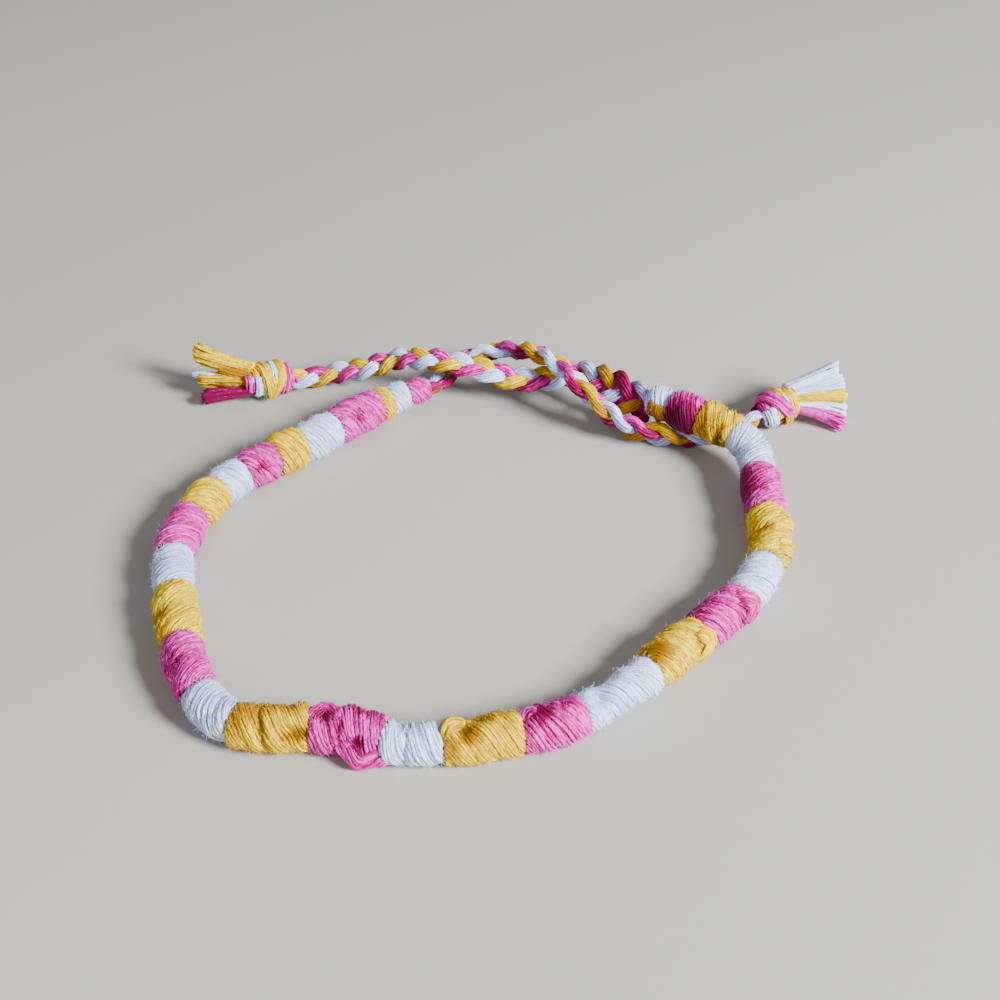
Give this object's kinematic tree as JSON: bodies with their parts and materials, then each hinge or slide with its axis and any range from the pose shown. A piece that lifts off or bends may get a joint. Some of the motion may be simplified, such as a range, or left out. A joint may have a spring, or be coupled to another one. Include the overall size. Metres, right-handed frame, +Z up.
{
  "type": "woven thread bracelet",
  "caption": "Round band of knotted cotton wraps in pink, white and yellow, lying open in a loop, with a braided tie, an end knot and a cut tassel at either end.",
  "frame": {"origin": "on the surface that the bracelet lies on, under the middle of the wrapped band's own box", "axes": "+X to the right, +Y away from the viewer towards the ties, +Z up"},
  "size_m": [0.0782, 0.0664, 0.0075],
  "materials": {
    "pink_thread": "silky cotton floss",
    "white_thread": "soft cotton floss",
    "yellow_thread": "silky cotton floss",
    "braid": "braided cotton floss in pink, white and yellow",
    "knot": "knotted cotton floss in pink, white and yellow",
    "tassel": "loose cut cotton floss in pink, white and yellow"
  },
  "bodies": {
    "root": {"wrap_01_pink": "pink_thread", "wrap_02_white": "white_thread", "wrap_03_yellow": "yellow_thread", "wrap_04_pink": "pink_thread", "wrap_05_white": "white_thread", "wrap_06_yellow": "yellow_thread", "wrap_07_pink": "pink_thread", "wrap_08_white": "white_thread", "wrap_09_yellow": "yellow_thread", "wrap_10_pink": "pink_thread", "wrap_11_white": "white_thread", "wrap_12_yellow": "yellow_thread", "wrap_13_pink": "pink_thread", "wrap_14_white": "white_thread", "wrap_15_yellow": "yellow_thread", "wrap_16_pink": "pink_thread", "wrap_17_white": "white_thread", "wrap_18_yellow": "yellow_thread", "wrap_19_pink": "pink_thread", "wrap_20_white": "white_thread", "wrap_21_yellow": "yellow_thread", "wrap_22_pink": "pink_thread", "wrap_23_white": "white_thread", "wrap_24_yellow": "yellow_thread", "wrap_25_pink": "pink_thread", "wrap_26_white": "white_thread", "wrap_27_yellow": "yellow_thread", "wrap_28_pink": "pink_thread", "wrap_29_white": "white_thread", "tie_left": "braid", "tie_right": "braid", "knot_left": "knot", "knot_right": "knot", "tassel_left": "tassel", "tassel_right": "tassel"}
  },
  "joints": []
}
